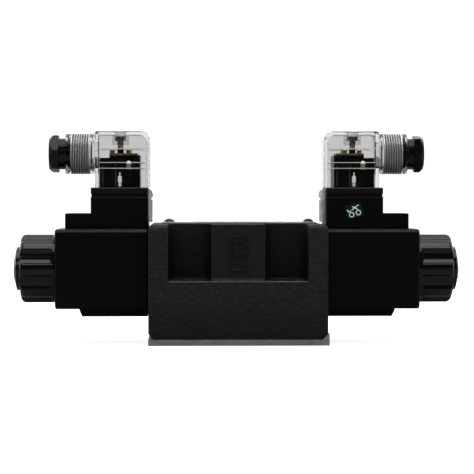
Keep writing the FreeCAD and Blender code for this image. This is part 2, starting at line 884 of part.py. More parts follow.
def gland_nut():
    """The hexagon gland nut: a round shank, a head chamfered to its corners and a flared mouth."""
    corner = gland_across_flats / math.sqrt(3)
    start = math.radians(gland_turn_deg)
    points = [
        (corner * math.cos(start + i * math.pi / 3), gland_z + corner * math.sin(start + i * math.pi / 3))
        for i in range(6)
    ]
    hexagon = prism_along_x(points, gland_head_start_x, gland_end_x)
    chamfer = turned(
        [
            (gland_head_start_x, corner - 0.5),
            (gland_head_start_x + 0.5, corner + 0.1),
            (gland_end_x - 2.4, corner + 0.1),
            (gland_end_x, corner - 2.2),
        ],
        z=gland_z,
    )
    head = hexagon.common(chamfer)
    shank = rod(gland_shank_start_x, gland_head_start_x + 1, gland_shank_radius, z=gland_z)
    nut = joined(head, shank)
    nut = nut.cut(rod(gland_shank_start_x - 1, gland_end_x + 1, gland_bore_radius, z=gland_z))
    mouth = Part.makeCone(
        gland_bore_radius, gland_bore_radius + 2.0, 2.0, Vector(gland_end_x - 2.0, 0, gland_z), along_x
    )
    return nut.cut(mouth)


# ---------------------------------------------------------------- export
single_parts = {
    "valve_body": valve_body,
    "seal_plate": seal_plate,
    "port_seals": port_seals,
    "nameplate": nameplate,
    "nameplate_screws": nameplate_screws,
    "spool": spool,
}
end_parts = {
    "spring_retainer": spring_retainer,
    "centring_spring": centring_spring,
    "armature": armature,
    "push_rod": push_rod,
    "override_pin": override_pin,
    "pole_piece": pole_piece,
    "core_tube": core_tube,
    "end_plug": end_plug,
    "tube_seal": tube_seal,
    "coil_terminals": coil_terminals,
    "coil_housing": coil_housing,
    "coil_bobbin": coil_bobbin,
    "coil_winding": coil_winding,
    "boss_cover": boss_cover,
    "coil_nut": coil_nut,
    "nut_seal": nut_seal,
    "connector_gasket": connector_gasket,
    "terminal_block": terminal_block,
    "indicator_leds": indicator_leds,
    "indicator_resistors": indicator_resistors,
    "indicator_board": indicator_board,
    "terminal_screws": terminal_screws,
    "connector_hood": connector_hood,
    "hood_screw": hood_screw,
    "gland_seal": gland_seal,
    "gland_washer": gland_washer,
    "gland_nut": gland_nut,
}


def main():
    os.makedirs("parts", exist_ok=True)
    for name, make in single_parts.items():
        make().exportStep(f"parts/{name}.step")
    for name, make in end_parts.items():
        shape = make()
        shape.exportStep(f"parts/{name}_b.step")
        other = shape.copy()
        other.rotate(Vector(0, 0, 0), along_z, 180)
        other.exportStep(f"parts/{name}_a.step")


main()
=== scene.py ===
import bmesh
import bpy
import json
import math
import numpy as np
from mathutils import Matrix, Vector


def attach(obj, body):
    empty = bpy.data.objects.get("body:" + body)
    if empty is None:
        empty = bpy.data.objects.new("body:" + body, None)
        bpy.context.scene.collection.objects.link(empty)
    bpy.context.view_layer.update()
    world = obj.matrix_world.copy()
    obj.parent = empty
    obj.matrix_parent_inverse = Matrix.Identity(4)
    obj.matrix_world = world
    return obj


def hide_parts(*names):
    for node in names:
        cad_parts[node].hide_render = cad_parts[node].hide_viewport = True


# A double solenoid valve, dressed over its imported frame. Everything is in metres.
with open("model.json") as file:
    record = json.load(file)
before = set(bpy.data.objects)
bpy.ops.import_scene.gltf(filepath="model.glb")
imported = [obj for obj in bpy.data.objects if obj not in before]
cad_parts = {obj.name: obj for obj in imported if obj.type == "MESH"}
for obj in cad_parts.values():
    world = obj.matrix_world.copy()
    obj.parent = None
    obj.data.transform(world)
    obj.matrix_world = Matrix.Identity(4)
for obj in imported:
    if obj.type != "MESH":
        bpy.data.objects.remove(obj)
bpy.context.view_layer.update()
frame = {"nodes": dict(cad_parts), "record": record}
mm = 0.001
ends = {"a": -1.0, "b": 1.0}          # which way along X each solenoid points
connectorX = 60.0                      # how far out each connector's screw stands, in millimetres
print("frame loaded:", len(frame["nodes"]), "nodes")

stage = {
    "cameraPlace": (-0.026, -0.95, 0.075),
    "aim": (0.00025, 0.0, 0.0537),
    "lens": 139.2,
    "sensor": 36.0,
    "floorSize": 4.0,
    "floorColour": (0.93, 0.93, 0.93, 1.0),
    "floorGlow": 0.80,                 # lifts the floor that the camera sees towards white
    "floorBounce": (0.10, 0.10, 0.10, 1.0),   # how much the floor lights the valve
    "floorMirrored": (0.40, 0.40, 0.40, 1.0),   # how pale the floor is in the valve's own shine
    "skyFront": 0.045,                 # how bright the room is on the camera's side
    "skyBack": 1.15,
    "skyTurn": (-0.35, 0.55),          # between these, on the direction's Y, one gives way to the other
    "lamps": [
        ("topSoftbox", (0.0, -0.20, 1.1), (0.0, 0.0, 0.04), (1.2, 0.7), 6.5),
        ("frontStrip", (-0.55, -1.2, 0.75), (0.0, 0.0, 0.05), (0.5, 0.35), 1.5),
        ("frontStripRight", (0.75, -1.1, 0.55), (0.0, 0.0, 0.05), (0.3, 0.5), 0.7),
    ],
}


def lookAt(thing, target):
    # turns a camera or lamp so that its -Z axis points at the target
    direction = Vector(target) - thing.location
    thing.rotation_euler = direction.to_track_quat("-Z", "Y").to_euler()


def makeCamera():
    data = bpy.data.cameras.new("studioCamera")
    data.lens = stage["lens"]
    data.sensor_width = stage["sensor"]
    data.clip_end = 20.0
    camera = bpy.data.objects.new("studioCamera", data)
    bpy.context.scene.collection.objects.link(camera)
    camera.location = stage["cameraPlace"]
    lookAt(camera, stage["aim"])
    bpy.context.scene.camera = camera


def makeLamp(name, place, target, size, power):
    data = bpy.data.lights.new(name, "AREA")
    data.shape = "RECTANGLE"
    data.size, data.size_y = size
    data.energy = power
    lamp = bpy.data.objects.new(name, data)
    bpy.context.scene.collection.objects.link(lamp)
    lamp.location = place
    lookAt(lamp, target)


def makeRoom():
    # the sky is bright behind the valve and dim in front of it, by the Y of the direction looked in
    world = bpy.data.worlds.new("studioRoom")
    bpy.context.scene.world = world
    world.use_nodes = True
    tree = world.node_tree
    background = tree.nodes["Background"]
    coord = tree.nodes.new("ShaderNodeTexCoord")
    split = tree.nodes.new("ShaderNodeSeparateXYZ")
    ramp = tree.nodes.new("ShaderNodeMapRange")
    ramp.interpolation_type = "SMOOTHSTEP"
    ramp.inputs["From Min"].default_value = stage["skyTurn"][0]
    ramp.inputs["From Max"].default_value = stage["skyTurn"][1]
    ramp.inputs["To Min"].default_value = stage["skyFront"]
    ramp.inputs["To Max"].default_value = stage["skyBack"]
    path = tree.nodes.new("ShaderNodeLightPath")
    seen = tree.nodes.new("ShaderNodeMix")
    seen.data_type = "FLOAT"
    seen.inputs["B"].default_value = stage["skyBack"]
    tree.links.new(coord.outputs["Generated"], split.inputs[0])
    tree.links.new(split.outputs["Y"], ramp.inputs["Value"])
    tree.links.new(path.outputs["Is Camera Ray"], seen.inputs["Factor"])
    tree.links.new(ramp.outputs["Result"], seen.inputs["A"])
    tree.links.new(seen.outputs["Result"], background.inputs["Strength"])
    background.inputs["Color"].default_value = (1.0, 1.0, 1.0, 1.0)


def makeFloor():
    # pale and softly lit to the eye, but it throws little light back at the dark valve
    half = stage["floorSize"] / 2
    mesh = bpy.data.meshes.new("floor")
    corners = [(-half, -half, 0), (half, -half, 0), (half, half, 0), (-half, half, 0)]
    mesh.from_pydata(corners, [], [(0, 1, 2, 3)])
    floor = bpy.data.objects.new("floor", mesh)
    bpy.context.scene.collection.objects.link(floor)
    paint = bpy.data.materials.new("paleFloor")
    paint.use_nodes = True
    tree = paint.node_tree
    shader = tree.nodes["Principled BSDF"]
    shader.inputs["Base Color"].default_value = stage["floorColour"]
    shader.inputs["Roughness"].default_value = 0.9
    shader.inputs["Emission Color"].default_value = (1.0, 1.0, 1.0, 1.0)
    shader.inputs["Emission Strength"].default_value = stage["floorGlow"]
    dim = tree.nodes.new("ShaderNodeBsdfDiffuse")
    dim.inputs["Color"].default_value = stage["floorBounce"]
    mirrored = tree.nodes.new("ShaderNodeBsdfDiffuse")
    mirrored.inputs["Color"].default_value = stage["floorMirrored"]
    path = tree.nodes.new("ShaderNodeLightPath")
    bounce = tree.nodes.new("ShaderNodeMixShader")
    tree.links.new(path.outputs["Is Glossy Ray"], bounce.inputs["Fac"])
    tree.links.new(dim.outputs[0], bounce.inputs[1])
    tree.links.new(mirrored.outputs[0], bounce.inputs[2])
    choose = tree.nodes.new("ShaderNodeMixShader")
    tree.links.new(path.outputs["Is Camera Ray"], choose.inputs["Fac"])
    tree.links.new(bounce.outputs[0], choose.inputs[1])
    tree.links.new(shader.outputs[0], choose.inputs[2])
    tree.links.new(choose.outputs[0], tree.nodes["Material Output"].inputs["Surface"])
    floor.data.materials.append(paint)


makeCamera()
makeRoom()
makeFloor()
for lamp in stage["lamps"]:
    makeLamp(*lamp)
bpy.context.scene.view_settings.view_transform = "Standard"
print("stage set")


def startFinish(name, sockets):
    # a principled material with the given constants on its own sockets
    material = bpy.data.materials.new(name)
    material.use_nodes = True
    tree = material.node_tree
    shader = tree.nodes["Principled BSDF"]
    for socket, value in sockets.items():
        shader.inputs[socket].default_value = value
    return material, tree, shader


def node(tree, kind, values=None, **fields):
    # adds a node, sets its fields and its unlinked inputs
    made = tree.nodes.new(kind)
    for field, value in fields.items():
        setattr(made, field, value)
    for socket, value in (values or {}).items():
        made.inputs[socket].default_value = value
    return made


def placeOn(tree, scale=(1.0, 1.0, 1.0)):
    # object coordinates, stretched by a mapping
    coord = node(tree, "ShaderNodeTexCoord")
    mapping = node(tree, "ShaderNodeMapping", {"Scale": scale})
    tree.links.new(coord.outputs["Object"], mapping.inputs["Vector"])
    return mapping.outputs["Vector"]


def noise(tree, vector, size, detail, rough):
    # noise whose lumps are about size metres across
    made = node(tree, "ShaderNodeTexNoise", {"Scale": 1.0 / size, "Detail": detail, "Roughness": rough})
    tree.links.new(vector, made.inputs["Vector"])
    return made.outputs["Fac"]


def stretch(tree, value, span, toLow, toHigh):
    # maps a value from one span to another, held at its ends
    sockets = {"From Min": span[0], "From Max": span[1], "To Min": toLow, "To Max": toHigh}
    made = node(tree, "ShaderNodeMapRange", sockets)
    tree.links.new(value, made.inputs["Value"])
    return made.outputs["Result"]


def blendColours(tree, factor, first, second):
    # the factor leads from the first colour to the second; the first may be another blend's result
    made = node(tree, "ShaderNodeMix", {"B": (*second, 1.0)}, data_type="RGBA")
    if isinstance(first, bpy.types.NodeSocket):
        tree.links.new(first, made.inputs["A"])
    else:
        made.inputs["A"].default_value = (*first, 1.0)
    tree.links.new(factor, made.inputs["Factor"])
    return made.outputs["Result"]


def bump(tree, height, depth, under=None):
    # a bump of the given depth in metres on top of an earlier normal
    made = node(tree, "ShaderNodeBump", {"Strength": 1.0, "Distance": depth})
    tree.links.new(height, made.inputs["Height"])
    if under is not None:
        tree.links.new(under, made.inputs["Normal"])
    return made.outputs["Normal"]


def softEdges(tree, radius):
    # rounds the look of sharp edges
    return node(tree, "ShaderNodeBevel", {"Radius": radius}, samples=4).outputs["Normal"]


def hollowShade(tree, reach):
    # nearness to other walls, 0 deep in a corner and 1 in the open
    made = node(tree, "ShaderNodeAmbientOcclusion", {"Distance": reach}, samples=6)
    return made.outputs["AO"]


noiseSpan = (0.3, 0.7)                 # where nearly all of a noise's values lie


def shadeAround(tree, cloud, colour, dark, light):
    # the colour, led by a noise from dark times itself to light times itself
    darker = tuple(dark * c for c in colour)
    lighter = tuple(light * c for c in colour)
    return blendColours(tree, stretch(tree, cloud, noiseSpan, 0.0, 1.0), darker, lighter)


def castPaint():
    # black paint over a sand casting: grain, shallow lumps, level scars from the mould, rubbed specks,
    # painted shade on the faces set back from the two broad sides, and painted shade darkening the hollows
    values = {
        "colour": (0.0275, 0.0258, 0.0218), "worn": (0.062, 0.058, 0.049), "wornSpan": (0.45, 0.72),
        "speck": (0.22, 0.21, 0.18), "speckSize": 0.0012, "speckSpan": (0.725, 0.78), "speckMost": 0.8,
        # the next two lines hold painted shade colours: a darker one for the faces set back from the broad
        # sides, and a near-black one for the hollows
        "setBackShade": (0.0130, 0.0120, 0.0105), "setBackShadeSpan": (0.0338, 0.0346), "setBackShadeMost": 0.75,
        "hollow": (0.0018, 0.0017, 0.0016), "hollowReach": 0.030, "hollowSpan": (0.45, 1.0),
        "grain": 0.00055, "grainDepth": 0.00026, "lump": 0.0038, "lumpDepth": 0.0005,
        "scar": 0.0011, "scarDepth": 0.00024, "scarStretch": (0.30, 1.0, 1.0),
        "roughest": 0.62, "smoothest": 0.40, "edge": 0.0006,
    }
    material, tree, shader = startFinish("castPaint", {"Specular IOR Level": 0.30})
    vector = placeOn(tree)
    level = placeOn(tree, scale=values["scarStretch"])
    grain = noise(tree, vector, values["grain"], 4.0, 0.65)
    lumps = noise(tree, vector, values["lump"], 3.0, 0.5)
    scars = noise(tree, level, values["scar"], 4.0, 0.7)
    dots = noise(tree, vector, values["speckSize"], 2.0, 0.4)
    worn = stretch(tree, scars, values["wornSpan"], 0.0, 1.0)
    colour = blendColours(tree, worn, values["colour"], values["worn"])
    specks = stretch(tree, dots, values["speckSpan"], 0.0, values["speckMost"])
    colour = blendColours(tree, specks, colour, values["speck"])
    # painted shade: faces set back from the two broad sides, within 33.8 mm of the middle, are blended most
    # of the way to a darker colour
    split = node(tree, "ShaderNodeSeparateXYZ")
    tree.links.new(vector, split.inputs[0])
    across = node(tree, "ShaderNodeMath", operation="ABSOLUTE")
    tree.links.new(split.outputs["Y"], across.inputs[0])
    back = stretch(tree, across.outputs[0], values["setBackShadeSpan"], values["setBackShadeMost"], 0.0)
    colour = blendColours(tree, back, colour, values["setBackShade"])
    # painted shade: the colour is blended towards near black where other walls lie within 30 mm
    paintedShade = stretch(tree, hollowShade(tree, values["hollowReach"]), values["hollowSpan"], 1.0, 0.0)
    tree.links.new(blendColours(tree, paintedShade, colour, values["hollow"]), shader.inputs["Base Color"])
    sheen = stretch(tree, lumps, noiseSpan, values["smoothest"], values["roughest"])
    tree.links.new(sheen, shader.inputs["Roughness"])
    normal = bump(tree, lumps, values["lumpDepth"], softEdges(tree, values["edge"]))
    normal = bump(tree, scars, values["scarDepth"], normal)
    tree.links.new(bump(tree, grain, values["grainDepth"], normal), shader.inputs["Normal"])
    return material


def mouldedPlastic(name, colour, roughness, depth=0.00002, specular=0.5, edge=0.0003, paintedGlow=0.0):
    # a moulded surface: even colour with a faint mottle, fine grain, softened edges, and a painted glow
    # where one is given
    values = {"mottle": 0.006, "grain": 0.0004, "shades": (0.8, 1.25)}
    sockets = {"Specular IOR Level": specular, "Emission Color": (*colour, 1.0), "Emission Strength": paintedGlow}
    material, tree, shader = startFinish(name, sockets)
    vector = placeOn(tree)
    mottle = noise(tree, vector, values["mottle"], 3.0, 0.5)
    fine = noise(tree, vector, values["grain"], 2.0, 0.5)
    tree.links.new(shadeAround(tree, mottle, colour, *values["shades"]), shader.inputs["Base Color"])
    sheen = stretch(tree, mottle, noiseSpan, roughness * 0.88, roughness * 1.12)
    tree.links.new(sheen, shader.inputs["Roughness"])
    under = softEdges(tree, edge) if edge else None
    tree.links.new(bump(tree, fine, depth, under), shader.inputs["Normal"])
    return material


def threadPlastic():
    # the clear moulded thread, shown as silver metal whose crests catch the light, with painted shade
    # darkening it down in its grooves
    values = {
        # the darker colour is painted shade for the grooves
        "crest": (0.97, 0.97, 0.98), "grooveShade": (0.40, 0.40, 0.41), "grooveShadeReach": 0.0012,
        "grooveShadeSpan": (0.35, 0.80),
    }
    material, tree, shader = startFinish("neckThread", {"Metallic": 0.42, "Roughness": 0.22})
    # painted shade: the colour goes from the crest's towards the darker one where other walls lie within 1.2
    # mm
    paintedShade = stretch(tree, hollowShade(tree, values["grooveShadeReach"]), values["grooveShadeSpan"], 1.0, 0.0)
    tree.links.new(blendColours(tree, paintedShade, values["crest"], values["grooveShade"]), shader.inputs["Base Color"])
    return material


def workedMetal(name, colour, roughness, along=(1.0, 1.0, 1.0), metal=1.0):
    # machined or plated metal: fine tool lines drawn out along an axis, and a slow change of shade
    values = {
        "line": 0.0005, "lineSpan": (0.25, 0.75), "lineDepth": 0.00001, "cloud": 0.008,
        "shades": (0.78, 1.12), "edge": 0.00015,
    }
    material, tree, shader = startFinish(name, {"Metallic": metal})
    lines = noise(tree, placeOn(tree, scale=along), values["line"], 3.0, 0.6)
    cloud = noise(tree, placeOn(tree), values["cloud"], 3.0, 0.55)
    tree.links.new(shadeAround(tree, cloud, colour, *values["shades"]), shader.inputs["Base Color"])
    sheen = stretch(tree, lines, values["lineSpan"], roughness * 0.75, roughness * 1.25)
    tree.links.new(sheen, shader.inputs["Roughness"])
    normal = bump(tree, lines, values["lineDepth"], softEdges(tree, values["edge"]))
    tree.links.new(normal, shader.inputs["Normal"])
    return material


def clearPlastic(name, colour, roughness, wave, ior, transmission):
    # clear moulding: slight flow waves bend what shows through it
    values = {"flow": 0.004}
    sockets = {"Base Color": (*colour, 1.0), "Transmission Weight": transmission, "IOR": ior}
    material, tree, shader = startFinish(name, sockets)
    flow = noise(tree, placeOn(tree), values["flow"], 2.0, 0.4)
    sheen = stretch(tree, flow, noiseSpan, roughness * 0.7, roughness * 1.3)
    tree.links.new(sheen, shader.inputs["Roughness"])
    tree.links.new(bump(tree, flow, wave), shader.inputs["Normal"])
    return material


finishes = {
    "cast_iron_black": castPaint(),
    "plate_grey": workedMetal("plateGrey", (0.52, 0.52, 0.50), 0.5, along=(0.08, 1.0, 1.0), metal=0.5),
    "seal_rubber": mouldedPlastic("sealRubber", (0.012, 0.012, 0.012), 0.6),
    "plate_aluminium": workedMetal("plateAluminium", (0.70, 0.70, 0.70), 0.35, along=(0.05, 1.0, 1.0)),
    "zinc_yellow": workedMetal("yellowZinc", (0.055, 0.048, 0.028), 0.5),
    "ground_steel": workedMetal("groundSteel", (0.55, 0.55, 0.56), 0.25, along=(1.0, 0.1, 0.1)),
    "spring_steel": workedMetal("springWire", (0.32, 0.32, 0.33), 0.35),
    "soft_iron": workedMetal("softIron", (0.48, 0.48, 0.47), 0.35, along=(1.0, 0.1, 0.1)),
    "plated_steel": workedMetal("platedSteel", (0.66, 0.66, 0.65), 0.42, metal=0.8),
    "tinned_brass": workedMetal("tinnedBrass", (0.62, 0.60, 0.52), 0.3, along=(1.0, 1.0, 0.1)),
    "coil_black": mouldedPlastic(
        "coilMoulding", (0.0026, 0.0026, 0.0030), 0.36, depth=0.00003, specular=0.14, edge=0.0005
    ),
    "bobbin_plastic": mouldedPlastic("bobbinNylon", (0.50, 0.47, 0.38), 0.45),
    "copper_wire": workedMetal("copperWire", (0.60, 0.24, 0.11), 0.3, along=(1.0, 0.1, 0.1)),
    "cover_frosted": clearPlastic("frostedCover", (0.66, 0.66, 0.65), 0.42, 0.0003, 1.5, 0.85),
    "nut_gloss_black": mouldedPlastic(
        "nutMoulding", (0.0025, 0.0025, 0.003), 0.17, depth=0.00001, specular=0.38
    ),
    "gasket_black": mouldedPlastic("gasketRubber", (0.0035, 0.0035, 0.0035), 0.55, specular=0.15),
    "insert_black": mouldedPlastic("insertMoulding", (0.0035, 0.0035, 0.004), 0.36, specular=0.3),
    # painted light: the small lamp's lens is given a faint glow of its own
    "lamp_lens": mouldedPlastic("lampLens", (0.42, 0.36, 0.27), 0.2, paintedGlow=0.25, edge=0.0),
    # painted highlight: a glowing cap for the bright top of each small lamp
    "lampHighlight": mouldedPlastic("lampHighlight", (1.0, 0.95, 0.80), 0.2, paintedGlow=0.95, edge=0.0),
    # painted light: the resistor is given a glow of its own
    "resistor_white": mouldedPlastic("resistorCeramic", (0.88, 0.87, 0.84), 0.3, paintedGlow=0.60),
    "board_yellow": mouldedPlastic("boardLaminate", (0.55, 0.48, 0.16), 0.45),
    "brass": workedMetal("turnedBrass", (0.66, 0.48, 0.20), 0.28),
    "hood_clear": clearPlastic("clearHood", (0.70, 0.70, 0.695), 0.13, 0.00008, 1.17, 1.0),
    "seal_silicone": mouldedPlastic("siliconeSeal", (0.02, 0.02, 0.02), 0.45),
    "gland_black": mouldedPlastic("glandMoulding", (0.0030, 0.0030, 0.0035), 0.25, specular=0.26),
    "neckThread": threadPlastic(),
    # painted highlight: white, glowing lines on the clear hood
    "hoodHighlightLine": mouldedPlastic("hoodHighlightLine", (0.80, 0.80, 0.80), 0.3, edge=0.0, paintedGlow=0.22),
    # painted highlight: light grey on the black insert's edges
    "insertEdgeHighlight": mouldedPlastic("insertEdgeHighlight", (0.16, 0.16, 0.16), 0.35, edge=0.0),
    "labelGreen": mouldedPlastic("labelGreen", (0.002, 0.036, 0.020), 0.4, specular=0.2, edge=0.0),
    # the white print is its own colour; its glow is painted light
    "labelWhite": mouldedPlastic("labelWhite", (0.80, 0.86, 0.82), 0.5, edge=0.0, paintedGlow=0.25),
    "symbolInk": mouldedPlastic("symbolInk", (0.02, 0.02, 0.022), 0.5, edge=0.0),
    # painted highlights along cast edges: a brighter one for the shelf and a fainter one for the upright
    # edges
    "brightEdgeHighlight": mouldedPlastic("brightEdgeHighlight", (0.155, 0.151, 0.143), 0.4, edge=0.0),
    "faintEdgeHighlight": mouldedPlastic("faintEdgeHighlight", (0.050, 0.048, 0.045), 0.4, edge=0.0),
    "seamLine": mouldedPlastic("seamLine", (0.035, 0.035, 0.036), 0.4, edge=0.0),
}


def dressNodes():
    slots = {part["node"]: part["material_slot"] for part in frame["record"]["subparts"]}
    for name, thing in frame["nodes"].items():
        thing.data.materials.clear()
        thing.data.materials.append(finishes[slots[name]])
    print("dressed", len(slots), "nodes")


dressNodes()


def gridMesh(name, points, closeRows=False, closeColumns=False, flatAngle=None, capEnds=False):
    # points is an array rows x columns x 3 in metres; each cell of the grid becomes a four-sided face,
    # a closed direction joins its last line to its first, and a capped one ends in a fan round its middle
    rows, columns = points.shape[:2]
    i = np.arange(rows if closeRows else rows - 1)[:, None]
    j = np.arange(columns if closeColumns else columns - 1)[None, :]
    below, beside = (i + 1) % rows, (j + 1) % columns
    quads = np.stack(
        [i * columns + j, i * columns + beside, below * columns + beside, below * columns + j], axis=-1
    ).reshape(-1, 4)
    corners = points.reshape(-1, 3)
    faces = quads.tolist()
    if capEnds:
        middles = np.array([points[0].mean(axis=0), points[-1].mean(axis=0)])
        first = len(corners)
        corners = np.vstack([corners, middles])
        j = np.arange(columns)
        beside = (j + 1) % columns
        last = (rows - 1) * columns
        faces += np.stack([j, beside, np.full(columns, first)], axis=-1).tolist()
        faces += np.stack([last + beside, last + j, np.full(columns, first + 1)], axis=-1).tolist()
    mesh = bpy.data.meshes.new(name)
    mesh.from_pydata(corners.tolist(), [], faces)
    pointOutwards(mesh)
    if flatAngle is not None:
        mesh.polygons.foreach_set("use_smooth", np.ones(len(mesh.polygons), dtype=bool))
        mesh.set_sharp_from_angle(angle=math.radians(flatAngle))
    return mesh


def pointOutwards(mesh):
    # closed seams are merged first, then every face of the closed shell is turned outwards
    shell = bmesh.new()
    shell.from_mesh(mesh)
    bmesh.ops.remove_doubles(shell, verts=shell.verts, dist=1e-7)
    bmesh.ops.recalc_face_normals(shell, faces=shell.faces)
    shell.to_mesh(mesh)
    shell.free()


def settle(name, mesh, finish, slotName, body, *stoodFor):
    # puts a finished mesh on its body, in place of the nodes that it stands for
    piece = bpy.data.objects.new(name, mesh)
    bpy.context.scene.collection.objects.link(piece)
    mesh.materials.append(finish)
    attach(piece, body)
    if stoodFor:
        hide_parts(*stoodFor)
    return piece


def softMin(first, second, blend):
    # the smaller of two values, with the change from one to the other rounded over the blend
    return 0.5 * (first + second - np.sqrt((first - second) ** 2 + blend ** 2))


def arcPoints(x, r, radius, start, stop, count):
    # points on a quarter round in the (x, r) plane, by angle in degrees from the +X direction
    t = np.radians(np.linspace(start, stop, count))
    return np.stack([x + radius * np.cos(t), r + radius * np.sin(t)], axis=-1)


coilNut = {
    "start": 92.52, "collarEnd": 94.9, "end": 111.1, "hubEnd": 114.7,
    "radius": 17.58, "corner": 2.6, "hubRadius": 11.2, "hubRise": 2.3, "faceRadius": 6.2, "pinHole": 5.3,
    "bore": 11.15, "boreEnd": 106.0, "axisHeight": 37.5,
    "backRound": 0.3, "faceRim": 1.2, "footRound": 0.6, "hubBevel": 0.2, "faceBevel": (0.15, 0.25),
    "flutes": 8, "firstFlute": 0.5, "cutter": 5.8, "depth": 2.2, "edge": 0.4, "clear": 1.5,
    "runIn": 0.6,                      # the length over which a flute grows to its full depth
    "landLift": 0.012,                 # gives back part of what the rounded edges take off the lands
    "flank": (0.5, 2.0),               # flutes start this far past the back and outside the hub
    "around": 512,
}


def nutProfile():
    # one closed loop of (x, r): collar, body, rounded corner, hub, cone, pin hole, bore and back
    n = coilNut
    back, foot, bevel = n["backRound"], n["footRound"], n["hubBevel"]
    bevelX, bevelR = n["faceBevel"]
    hubTop = n["end"] + n["hubRise"]
    body = np.linspace(n["collarEnd"] - 0.4, n["end"] - n["corner"], 26)
    pieces = [
        [(n["start"], n["bore"]), (n["start"], n["radius"] - back)],
        arcPoints(n["start"] + back, n["radius"] - back, back, 180, 90, 4),
        np.stack([body, np.full(len(body), n["radius"])], axis=-1),
        arcPoints(n["end"] - n["corner"], n["radius"] - n["corner"], n["corner"], 90, 0, 14)[1:],
        [(n["end"], n["hubRadius"] + n["faceRim"])],
        arcPoints(n["end"] + foot, n["hubRadius"] + foot, foot, 180, 270, 5),
        [(hubTop - bevel, n["hubRadius"]), (hubTop, n["hubRadius"] - bevel)],
        [(n["hubEnd"] - bevelX, n["faceRadius"] + bevelR), (n["hubEnd"], n["faceRadius"])],
        [(n["hubEnd"], n["pinHole"] + bevelR), (n["hubEnd"] - bevelR, n["pinHole"])],
        [(n["boreEnd"], n["pinHole"]), (n["boreEnd"], n["bore"])],
    ]
    return np.vstack([np.asarray(piece, dtype=float) for piece in pieces])


def makeCoilNut(side, sign):
    # a turned profile whose radius is held down, past the collar, to a ring of round cuts: along a ray at
    # angle t from a cutter of radius c at distance d, the cut's surface is d cos t - sqrt(c^2 - (d sin t)^2)
    n = coilNut
    profile = nutProfile()
    angle = np.linspace(0, 2 * np.pi, n["around"], endpoint=False)
    x = np.repeat(profile[:, :1], n["around"], axis=1)
    r = np.repeat(profile[:, 1:], n["around"], axis=1)
    pitch = 2 * np.pi / n["flutes"]
    turn = (angle - n["firstFlute"] * pitch + pitch / 2) % pitch - pitch / 2
    reach = n["radius"] - n["depth"] + n["cutter"]
    clear = n["radius"] + n["clear"]
    inside = n["cutter"] ** 2 - (reach * np.sin(turn)) ** 2
    cut = np.where(inside > 0, reach * np.cos(turn) - np.sqrt(np.maximum(inside, 0)), clear)
    cut = np.minimum(cut, clear)[None, :]
    runIn = np.clip((x - n["collarEnd"]) / n["runIn"] + 0.5, 0, 1)
    runIn = runIn ** 2 * (3 - 2 * runIn)
    fluted = softMin(r, cut, n["edge"]) + n["landLift"]
    outer = (x > n["start"] + n["flank"][0]) & (r > n["hubRadius"] + n["flank"][1])
    r = np.where(outer, r + (np.minimum(fluted, r) - r) * runIn, r)
    if sign < 0:
        angle = np.pi - angle
    points = np.stack(
        [sign * x, r * np.cos(angle)[None, :], n["axisHeight"] + r * np.sin(angle)[None, :]], axis=-1
    )
    mesh = gridMesh(f"coilNutShell_{side}", points * mm, closeRows=True, closeColumns=True, flatAngle=24)
    nut = f"coil_nut_{side}"
    settle(mesh.name, mesh, finishes["nut_gloss_black"], "nut_gloss_black", nut, nut)


neckThread = {
    "start": 75.6, "end": 85.2, "height": 96.7, "outer": 10.62, "inner": 9.6, "depth": 0.75, "pitch": 1.25,
    "fade": 0.6, "along": 170, "around": 112, "boreEvery": 30,
}


def makeNeckThread(side, sign):
    # the moulded thread on the hood's neck: r = outer - depth * |saw(x / pitch - t / turn)|, a ridge that
    # climbs one pitch a turn, with a plain bore inside it, let into the neck's wall
    n = neckThread
    x = np.linspace(n["start"], n["end"], n["along"])[:, None]
    angle = np.linspace(0, 2 * np.pi, n["around"], endpoint=False)[None, :]
    phase = (x / n["pitch"] - angle / (2 * np.pi)) % 1.0
    fade = np.clip(np.minimum(x - n["start"], n["end"] - x) / n["fade"], 0, 1)
    ridge = n["outer"] - n["depth"] * np.abs(2 * phase - 1) * fade
    boreX = x[::-1][::n["boreEvery"]]
    r = np.vstack([ridge, np.full((len(boreX), n["around"]), n["inner"])])
    xs = np.repeat(np.vstack([x, boreX]), n["around"], axis=1)
    points = np.stack([sign * xs, r * np.cos(angle), n["height"] + r * np.sin(angle)], axis=-1)
    mesh = gridMesh(f"neckThread_{side}", points * mm, closeRows=True, closeColumns=True, flatAngle=80)
    settle(mesh.name, mesh, finishes["neckThread"], "hood_clear", f"plug_{side}")


def boxesMesh(name, corners):
    # one closed box for each set of eight corners: four round its foot and the four above them
    cell = np.array([[0, 3, 2, 1], [4, 5, 6, 7], [0, 1, 5, 4], [1, 2, 6, 5], [2, 3, 7, 6], [3, 0, 4, 7]])
    faces = cell[None] + 8 * np.arange(len(corners))[:, None, None]
    mesh = bpy.data.meshes.new(name)
    mesh.from_pydata(corners.reshape(-1, 3).tolist(), [], faces.reshape(-1, 4).tolist())
    pointOutwards(mesh)
    return mesh


def settleBars(name, spans, finish, slotName, body, softened=0.0):
    # a piece of bars, one for each span of (x0, x1, y0, y1, z0, z1) in millimetres, and a small round on
    # their edges where one is given
    pick = np.array([[0, 2, 4], [1, 2, 4], [1, 3, 4], [0, 3, 4], [0, 2, 5], [1, 2, 5], [1, 3, 5], [0, 3, 5]])
    corners = (np.asarray(spans, dtype=float) * mm)[:, pick]
    piece = settle(name, boxesMesh(name, corners), finish, slotName, body)
    if softened:
        bevel = piece.modifiers.new("softEdges", "BEVEL")
        bevel.width = softened * mm
        bevel.segments = 2
        bevel.limit_method = "ANGLE"


hoodHighlightLines = {
    "heights": (89.1, 92.05, 99.15), "thick": 0.36, "faceY": 14.0, "sunk": 0.15, "proud": 0.12,
    "from": 47.2, "to": 70.6, "softened": 0.08,
}


